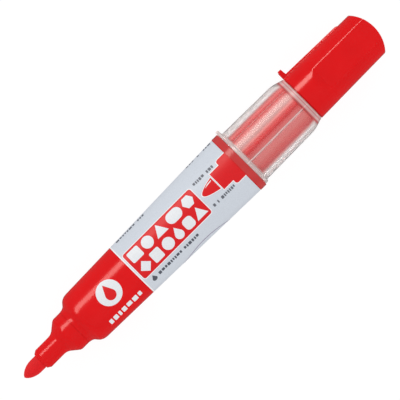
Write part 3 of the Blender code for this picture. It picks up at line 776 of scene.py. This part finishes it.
def tail():
    lug_half = math.atan(LUG_WIDTH / 2 / LUG_R)
    rib_half = math.asin(RIB_WIDTH / 2 / TAIL_BORE_R)
    angles = ring_angles((0, lug_half), *[(a, rib_half) for a in RIB_ANGLES])

    def features(z, r, angles):
        radii = np.full(len(angles), float(r))
        if abs(r - COLLAR_R) < TINY and z < FLANGE_Z:
            gap, turn = off_helix(z, angles, THREAD_TURNS)
            end_gap = np.minimum(turn, THREAD_TURNS - turn)
            wire = RIDGE_R * smoothstep(-0.04, 0.12, end_gap)
            ridge = THREAD_PITCH_R + np.sqrt(np.clip(wire**2 - gap**2, 0, None))
            radii = soft_max(radii, ridge, 0.04)
        elif r > FLANGE_R - 0.31 and z < FLANGE_END_Z + 0.02:
            share = smoothstep(1.08, 0.94, angle_gap(angles, 0) / lug_half)
            tip = (LUG_R - (FLANGE_R - r)) / np.cos(np.clip(angle_gap(angles, 0), 0, lug_half))
            radii = radii + share * (tip - radii)
        elif abs(r - TAIL_BORE_R) < TINY:
            along_share = smoothstep(RIB_Z - 0.4, RIB_Z, z)
            along_share *= smoothstep(RIB_END_Z + 0.4, RIB_END_Z, z)
            for rib in RIB_ANGLES:
                share = smoothstep(1.15, 0.85, angle_gap(angles, rib) / rib_half)
                radii = radii - share * along_share * (TAIL_BORE_R - RIB_TOP_R)
        return radii

    obj = turned("tail_moulding", tail_path(), angles, features)
    place(obj, "tail", "clear_plastic", LOOKS["clear"], "tail_cover")
    obj.visible_shadow = False  # light reaches the bottle as it would through clear plastic


def bottle():
    neck_bore = BOTTLE_NECK_R - BOTTLE_WALL
    inner_r = BOTTLE_R - BOTTLE_WALL
    inner_end = BOTTLE_END_Z - BOTTLE_WALL
    outside = rounded([
        (BOTTLE_NECK_END_Z, neck_bore),
        (BOTTLE_Z, neck_bore, 0.1),
        (BOTTLE_Z, BOTTLE_NECK_R, 0.1),
        (BOTTLE_NECK_END_Z, BOTTLE_NECK_R),
    ])
    shoulder = (BOTTLE_SHOULDER_Z, BOTTLE_R)
    outside += curve_between(outside[-1], (77.9, BOTTLE_NECK_R), (77.6, BOTTLE_R), shoulder)
    outside += rounded([
        shoulder,
        (BOTTLE_END_Z, BOTTLE_R, 0.7),
        (BOTTLE_END_Z, 0.0),
    ])[1:]
    inside = rounded([
        (inner_end, 0.0),
        (inner_end, inner_r, 0.5),
        (BOTTLE_SHOULDER_Z + BOTTLE_WALL, inner_r),
    ])
    neck = (BOTTLE_NECK_END_Z + BOTTLE_WALL, neck_bore)
    inside += curve_between(inside[-1], (78.6, inner_r), (78.8, neck_bore), neck)
    path = list(reversed(outside))[:-1] + list(reversed(inside))
    obj = turned("bottle_moulding", path)
    place(obj, "cartridge", "bottle_plastic", LOOKS["bottle"], "cartridge_bottle")


def cap_r(z):
    """Radius of the cap's round side."""
    return CAP_RIM_R + (CAP_END_R - CAP_RIM_R) * (z - CAP_Z) / (CAP_CORNER_Z - CAP_Z)


def flat_y(z):
    """Height of the flats above the axis: a short ramp, then a face that keeps its width down the taper."""
    full = math.sqrt(cap_r(z) ** 2 - FLAT_HALF_WIDTH**2)
    return full + max(0.0, FLAT_FULL_Z - z) * (cap_r(FLAT_Z) - full) / (FLAT_FULL_Z - FLAT_Z)


def cap_section(z, angles):
    """Radii of the cap's outside at a station: round, with the flats, the spine and the tab."""
    cos, sin = np.cos(angles), np.sin(angles)
    radii = np.full(len(angles), cap_r(z))
    if z > FLAT_Z - 0.6:
        radii = soft_min(radii, flat_y(z) / np.clip(np.abs(sin), 1e-3, None), 0.15)
    spine_x = SPINE_FRONT_X + (SPINE_REAR_X - SPINE_FRONT_X) * (z - SPINE_Z) / (SPINE_END_Z - SPINE_Z)
    proud = smoothstep(SPINE_END_Z + 0.9, SPINE_END_Z - 0.1, z) * smoothstep(SPINE_Z - 0.6, SPINE_Z, z)
    aside = np.abs(radii * sin)
    on_spine = smoothstep(SPINE_HALF_WIDTH + 0.18, SPINE_HALF_WIDTH - 0.12, aside) * (cos > 0)
    radii = radii + np.clip(spine_x / np.clip(cos, 0.1, None) - radii, 0, None) * on_spine * proud
    tab_share = smoothstep(TAB_Z - 0.12, TAB_Z + 0.1, z)
    tab_share *= smoothstep(TAB_END_Z + 0.2, TAB_END_Z - 0.08, z)
    from_tab = angle_gap(angles, 0)
    on_tab = smoothstep(1.08, 0.93, from_tab / TAB_HALF_ANGLE)
    tip = TAB_X / np.cos(np.clip(from_tab, 0, TAB_HALF_ANGLE))
    return radii + np.clip(tip - radii, 0, None) * on_tab * tab_share


def arch_z(x):
    """Where the cap's arched end is, at a distance from the axis towards the lugs."""
    rise = CAP_END_Z - CAP_CORNER_Z
    arch_r = (CAP_END_R**2 + rise**2) / (2 * rise)
    return CAP_END_Z - arch_r + np.sqrt(arch_r**2 - np.clip(x, -CAP_END_R, CAP_END_R) ** 2)


def cap_stations():
    """Where the cap's rings lie along the pen: closer at the tab, the flats' ramps and the spine's end."""
    stations = [CAP_Z + CAP_RIM_EDGE, CAP_Z + 0.3]
    stations += list(np.linspace(TAB_Z - 0.1, TAB_END_Z + 0.2, 22))
    stations += list(np.linspace(TAB_END_Z + 0.5, FLAT_Z - 0.8, 12))
    stations += list(np.linspace(FLAT_Z - 0.6, FLAT_FULL_Z + 0.4, 40))
    stations += list(np.linspace(FLAT_FULL_Z + 0.8, SPINE_END_Z - 0.4, 24))
    stations += list(np.linspace(SPINE_END_Z - 0.2, SPINE_END_Z + 1.0, 14))
    stations += list(np.linspace(SPINE_END_Z + 1.5, CAP_ARCH_Z, 6))
    return stations


def cap():
    spine_half = math.asin(SPINE_HALF_WIDTH / CAP_RIM_R)
    flat_half = math.asin(FLAT_HALF_WIDTH / CAP_RIM_R)
    sides = [(QUARTER, flat_half), (3 * QUARTER, flat_half)]
    angles = ring_angles((0, TAB_HALF_ANGLE), (0, spine_half), *sides)
    inside = rounded([
        (CAP_CORE_END_Z, 0.0),
        (CAP_CORE_END_Z, CAP_CORE_R, 0.6),
        (CAP_CORE_Z, CAP_CORE_R, 0.2),
        (CAP_SEAT_END_Z, CAP_SEAT_R, 0.2),
        (CAP_Z + 0.1, CAP_SEAT_R, 0.1),
        (CAP_Z, CAP_SEAT_R + 0.1),
    ])
    rows = [[(CAP_CORE_END_Z, 0.0, 0.0)]]
    rows += [[(z, r * math.cos(a), r * math.sin(a)) for a in angles] for z, r in inside[1:]]

    def ring(z, radii):
        zs = np.full(len(angles), z) if np.isscalar(z) else z
        rows.append(np.column_stack([zs, radii * np.cos(angles), radii * np.sin(angles)]).tolist())

    for turn in (0, 30, 60):
        inset = CAP_RIM_EDGE * (1 - math.sin(math.radians(turn)))
        lift = CAP_RIM_EDGE * (1 - math.cos(math.radians(turn)))
        ring(CAP_Z + lift, cap_section(CAP_Z + 0.2, angles) - inset)
    for z in cap_stations():
        ring(z, cap_section(z, angles))
    # The last stretch ends on the arch. Its corner is rounded over.
    first, last = cap_section(CAP_ARCH_Z, angles), cap_section(CAP_CORNER_Z, angles)
    edge = arch_z(last * np.cos(angles)) - CAP_CORNER_EDGE
    for share in (0.2, 0.5, 0.8, 1.0):
        ring(CAP_ARCH_Z + share * (edge - CAP_ARCH_Z), first + share * (last - first))
    for turn in (20, 40, 60, 80, 90):
        inset = CAP_CORNER_EDGE * (1 - math.cos(math.radians(turn)))
        fall = CAP_CORNER_EDGE * (1 - math.sin(math.radians(turn)))
        ring(arch_z((last - inset) * np.cos(angles)) - fall, last - inset)
    for share in (0.93, 0.84, 0.72, 0.6, 0.48, 0.36, 0.24, 0.12):
        radii = (last - CAP_CORNER_EDGE) * share
        ring(arch_z(radii * np.cos(angles)), radii)
    rows.append([(CAP_END_Z, 0.0, 0.0)])
    place(mesh_object("cap_moulding", *skin(rows)), "cap", "cap_red", LOOKS["cap"], "cap_shell")


def liner():
    path = rounded([
        (LINER_END_Z - LINER_WALL, 0.0),
        (LINER_END_Z - LINER_WALL, LINER_BORE_R, 0.8),
        (127.2, LINER_BORE_R, 0.3),
        (125.8, LINER_SEAL_R, 0.3),
        (LINER_Z, LINER_SEAL_R, 0.2),
        (LINER_Z, LINER_SEAT_R, 0.15),
        (126.25, LINER_SEAT_R, 0.2),
        (127.45, LINER_CORE_R, 0.2),
        (LINER_END_Z, LINER_CORE_R, 0.6),
        (LINER_END_Z, 0.0),
    ])
    place(turned("liner_cup", path), "cap", "liner_plastic", LOOKS["liner"], "cap_liner")


def inner_nodes():
    """The pieces sealed inside keep their CAD shapes and get materials."""
    looks = {
        "relay_core": "fibre",
        "ink_collector": "natural",
        "feed_housing": "natural",
        "connection_pipe": "natural",
        "cartridge_mouth_plug": "natural",
        "stopper_ball": "natural",
        "housing_o_ring": "rubber",
        "mouth_seal": "rubber",
    }
    for node, look in looks.items():
        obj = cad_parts[node]
        obj.data.materials.clear()
        obj.data.materials.append(LOOKS[look])


# ---------------------------------------------------------------- printing


def oval(u, v, half_u, half_v, count=72):
    turns = np.linspace(0, math.tau, count, endpoint=False)
    return [(u + half_u * math.cos(a), v + half_v * math.sin(a)) for a in turns]


def disc(u, v, radius, count=40):
    return oval(u, v, radius, radius, count)


def box(u0, u1, v0, v1, radius=0.0):
    """A rectangle with round corners."""
    if not radius:
        return [(u0, v0), (u1, v0), (u1, v1), (u0, v1)]
    left, right, low, high = u0 + radius, u1 - radius, v0 + radius, v1 - radius
    points = []
    for u, v, first in ((right, low, -90), (right, high, 0), (left, high, 90), (left, low, 180)):
        for k in range(7):
            a = math.radians(first + 15 * k)
            points.append((u + radius * math.cos(a), v + radius * math.sin(a)))
    return points


def polygon(u, v, radius, sides, first=90.0):
    turns = [math.radians(first + 360 * k / sides) for k in range(sides)]
    return [(u + radius * math.cos(a), v + radius * math.sin(a)) for a in turns]


def drop(u, v, radius, height):
    """An ink drop with a round foot at (u, v) and its point towards the lugs."""
    points = []
    side = math.acos(radius / (height - radius))
    first = math.pi / 2 + side
    for a in np.linspace(first, first + math.tau - 2 * side, 36):
        points.append((u + radius * math.cos(a), v + radius * math.sin(a)))
    points.append((u, v + height - radius))
    return points


def wrapped(name, outlines, radius_at, look, lift=0.03, holes=()):
    """A thin printed layer wrapped on the barrel. Its flat outlines are (u along the pen, v round it)."""
    shape = bmesh.new()
    for outline in [*outlines, *holes]:
        loop = [shape.verts.new((u, v, 0)) for u, v in outline]
        for a, b in zip(loop, loop[1:] + loop[:1]):
            shape.edges.new((a, b))
    bmesh.ops.triangle_fill(shape, use_beauty=True, edges=shape.edges[:])
    # It is cut into strips narrow enough to bend with the surface.
    us = [p[0] for outline in outlines for p in outline]
    vs = [p[1] for outline in outlines for p in outline]
    for reached, step, normal in ((us, PRINT_CUT_U, (1, 0, 0)), (vs, PRINT_CUT_V, (0, 1, 0))):
        for cut in np.arange(min(reached) + step, max(reached), step):
            centre = Vector(normal) * float(cut)
            geometry = shape.verts[:] + shape.edges[:] + shape.faces[:]
            bmesh.ops.bisect_plane(shape, geom=geometry, dist=1e-5, plane_co=centre, plane_no=normal)
    made = bmesh.ops.extrude_face_region(shape, geom=shape.faces[:], use_keep_orig=True)
    top = {v for v in made["geom"] if isinstance(v, bmesh.types.BMVert)}
    for vert in shape.verts:
        u, v, _ = vert.co
        r = radius_at(u) + (lift if vert in top else -PRINT_ROOT)
        turn = v / radius_at(u)
        vert.co = Vector(to_world([(u, r * math.sin(turn), r * math.cos(turn))])[0])
    bmesh.ops.recalc_face_normals(shape, faces=shape.faces)
    mesh = bpy.data.meshes.new(name)
    shape.to_mesh(mesh)
    shape.free()
    place(linked_object(name, mesh), "barrel", "printed_film", look)


def letters(start, end, v, height, seed):
    """A row of blocks and gaps the size of letters, which stands for a line of small print."""
    sizes = random.Random(seed)
    outlines = []
    while start < end:
        width = height * sizes.choice((0.45, 0.6, 0.75, 0.9))
        if sizes.random() > 0.14:
            low = v - height / 2 + height * sizes.choice((0, 0, 0.15))
            outlines.append(box(start, start + width, low, v + height / 2, height * 0.12))
        start += width + height * 0.28
    return outlines


def both_sides(points, v):
    """Points and then their mirror images on the other side of v, as one outline."""
    return points + [(a, 2 * v - b) for a, b in reversed(points)]


def bullet(u, v, half_width, length, count=24):
    """A bullet nib seen from the side: flat behind at u, pointed in front."""
    shares = [k / count for k in range(1, count + 1)]
    side = [(u - length * (1 - share**1.9), v - half_width * share**0.9) for share in shares]
    return [(u - length, v)] + both_sides(side, v)


def grip_print():
    """An ink drop on a disc, and a row of blocks."""
    middle = 36.4
    wrapped("grip_disc", [disc(middle, 0.0, 4.1, 64)], grip_r, LOOKS["white_print"])
    wrapped("grip_drop", [drop(middle, -0.75, 1.75, 5.6)], grip_r, LOOKS["red_print"], 0.05)
    wrapped("grip_stripe", letters(30.2, 43.4, -7.6, 2.0, 3), grip_r, LOOKS["white_print"])


def panel_print():
    """A white front edge, and the red panel with two rows of plain shapes."""
    edge = box(LABEL_Z + 0.02, LABEL_Z + 0.42, -29.4, 29.4)
    wrapped("label_edge", [edge], label_r, LOOKS["bright_print"])
    panel = box(46.95, 75.7, -5.05, 5.3, 0.8)
    wrapped("label_panel", [panel], label_r, LOOKS["red_print"], 0.04)
    around, within = box(46.65, 76.0, -5.35, 5.6, 1.1), box(46.9, 75.75, -5.1, 5.35, 0.8)
    wrapped("panel_border", [around], label_r, LOOKS["bright_print"], holes=[within])
    upper, lower, half, low = 2.65, -2.2, 1.9, 0.45
    row = [
        box(48.0, 52.4, upper - half, upper + half, 0.5),
        disc(55.4, upper, 2.0),
        polygon(60.6, upper - low, 2.6, 3),
        box(63.9, 69.6, upper - half, upper + half, 1.85),
        polygon(72.6, upper, 2.1, 6, 0),
    ]
    wrapped("panel_upper_row", row, label_r, LOOKS["white_print"], 0.06)
    row = [
        polygon(50.0, lower, 2.1, 4),
        box(52.9, 56.6, lower - half, lower + half, 0.5),
        disc(59.6, lower, 2.0),
        drop(64.0, lower - 0.5, 1.5, 4.3),
        box(66.6, 70.2, lower - half, lower + half, 1.2),
        polygon(72.9, lower - low, 2.5, 3),
    ]
    wrapped("panel_lower_row", row, label_r, LOOKS["white_print"], 0.06)


def small_print():
    """Lines of small print, as plain blocks."""
    wrapped("small_drop", [drop(49.3, -7.6, 0.85, 2.5)], label_r, LOOKS["dark_print"])
    dark = letters(51.2, 67.6, -7.3, 1.15, 11)
    dark += letters(48.6, 60.4, 12.4, 1.3, 9)
    dark += letters(79.4, 89.6, 14.3, 1.3, 13)
    wrapped("dark_captions", dark, label_r, LOOKS["dark_print"])
    lines = letters(77.3, 85.6, 5.1, 1.0, 5)
    lines += letters(77.3, 86.4, -4.0, 1.0, 7)
    for i in range(6):
        lines += letters(50.0, 78.0, 20.0 + 1.5 * i, 0.8, 20 + i)
    wrapped("small_print", lines, label_r, LOOKS["grey_print"])


def swoosh():
    """A thin ring, of which the photograph shows an arc at the label's lower edge."""
    u, v = 68.3, -17.5
    within = oval(u, v, 9.7, 6.05)
    wrapped("swoosh_ring", [oval(u, v, 10.0, 6.4)], label_r, LOOKS["violet_print"], holes=[within])


def nib_sign():
    """A bullet nib's outline next to the ring, with a white border and a glint."""
    v, rear = 0.6, 90.85
    stem, hub, shoulder, cone = 3.2, 4.2, 4.6, 4.85
    side = [(83.1, stem), (87.0, stem), (87.0, hub), (87.25, shoulder), (87.7, cone), (rear, cone)]
    body = both_sides([(u, v - off) for u, off in side], v)
    side = [(82.9, 3.45), (86.75, 3.45), (86.75, 4.5), (87.6, 5.1), (rear, 5.1)]
    halo = both_sides([(u, v - off) for u, off in side], v)
    border = [halo, bullet(82.75, v, 2.55, 6.0)]
    wrapped("nib_sign_border", border, label_r, LOOKS["bright_print"])
    wrapped("nib_sign", [bullet(82.6, v, 2.3, 5.5), body], label_r, LOOKS["red_print"], 0.05)
    shine = [(79.0, 1.1), (80.4, 1.55), (82.1, 1.75), (82.1, 1.45), (80.5, 1.25)]
    shine = [(u, v + off) for u, off in shine]
    wrapped("nib_sign_shine", [shine], label_r, LOOKS["bright_print"], 0.07)


# ---------------------------------------------------------------- studio


def area_light(name, toward, distance, size, power):
    """A soft rectangle of light, seen from the pen in a direction, with its long side along the pen."""
    data = bpy.data.lights.new(name, "AREA")
    data.shape = "RECTANGLE"
    data.size, data.size_y = size
    data.energy = power
    lamp = bpy.data.objects.new(name, data)
    bpy.context.scene.collection.objects.link(lamp)
    lamp.location = Vector(toward).normalized() * distance
    lamp.rotation_euler = Vector(toward).to_track_quat("Z", "Y").to_euler()
    if abs((lamp.rotation_euler.to_matrix() @ Vector((1, 0, 0))).x) < 0.5:
        data.size, data.size_y = data.size_y, data.size
    return lamp


def mirrored_only(nodes, links):
    """1 for mirrored rays, and 0 for the eye's own, those off matt surfaces and those that pass through."""
    path = nodes.new("ShaderNodeLightPath")
    apart = nodes.new("ShaderNodeMath")
    apart.operation = "SUBTRACT"
    apart.use_clamp = True
    links.new(path.outputs["Is Glossy Ray"], apart.inputs[0])
    links.new(path.outputs["Is Transmission Ray"], apart.inputs[1])
    return apart.outputs["Value"]


def dimmed(nodes, links, socket, full, mirrored):
    """Gives a strength socket one value in general and another in mirror images."""
    spread = nodes.new("ShaderNodeMapRange")
    spread.inputs["To Min"].default_value = full
    spread.inputs["To Max"].default_value = mirrored
    links.new(mirrored_only(nodes, links), spread.inputs["Value"])
    links.new(spread.outputs["Result"], socket)


def floor():
    """The white ground that the pen lies on, which glossy surfaces don't mirror. Its size is in metres."""
    half = 3.0
    mesh = bpy.data.meshes.new("floor")
    corners = [(-half, -half, 0), (half, -half, 0), (half, half, 0), (-half, half, 0)]
    mesh.from_pydata(corners, [], [(0, 1, 2, 3)])
    obj = bpy.data.objects.new("floor", mesh)
    bpy.context.scene.collection.objects.link(obj)
    look, nodes, links = new_material("floor_white")
    shader = nodes["Principled BSDF"]
    tones = [(0.3, 0.115), (0.7, 0.125)]
    links.new(ramp(nodes, links, noise(nodes, links, 0.02), tones), shader.inputs["Base Color"])
    shader.inputs["Roughness"].default_value = 0.9
    shader.inputs["Specular IOR Level"].default_value = 0.0
    shader.inputs["Emission Color"].default_value = (1, 1, 1, 1)
    dimmed(nodes, links, shader.inputs["Emission Strength"], 0.92, 0.05)
    obj.data.materials.append(look)
    obj.visible_glossy = False


def surroundings():
    """A white world, dim in mirror images."""
    scene = bpy.context.scene
    scene.view_settings.view_transform = "Standard"
    world = bpy.data.worlds.new("studio")
    scene.world = world
    world.use_nodes = True
    nodes, links = world.node_tree.nodes, world.node_tree.links
    nodes["Background"].inputs["Color"].default_value = (1, 1, 1, 1)
    dimmed(nodes, links, nodes["Background"].inputs["Strength"], 0.76, 0.13)


def lights():
    """A long strip that lights only glossy surfaces, and two soft lights that they don't mirror."""
    key, low = math.radians(45.3), math.radians(40)
    toward_key, toward_fill = (0, math.sin(key), math.cos(key)), (0, -math.sin(low), math.cos(low))
    strip = area_light("key_strip", toward_key, 0.6, (1.3, 0.21), 3.9)
    strip.data.color = (1.0, 0.93, 0.86)
    strip.visible_diffuse = False
    strip.visible_transmission = False
    soft = area_light("key_soft", toward_key, 0.7, (1.0, 0.4), 0.97)
    soft.visible_glossy = False
    fill = area_light("fill", toward_fill, 0.8, (0.8, 0.6), 0.68)
    fill.visible_glossy = False


def camera():
    """A very long lens straight above the pen, turned as in the photograph."""
    data = bpy.data.cameras.new("camera")
    cam = bpy.data.objects.new("camera", data)
    bpy.context.scene.collection.objects.link(cam)
    data.lens = LENS
    data.sensor_width = SENSOR
    data.clip_end = 20
    distance = VIEW_WIDTH * MM * LENS / SENSOR
    cam.location = (CAMERA_X * MM, CAMERA_Y * MM, AXIS.z + distance)
    cam.rotation_euler = (0, 0, -PEN_TURN)
    bpy.context.scene.camera = cam


nib()
nose_cone()
barrel()
label()
tail()
bottle()
cap()
liner()
inner_nodes()
grip_print()
panel_print()
small_print()
swoosh()
nib_sign()
floor()
surroundings()
lights()
camera()
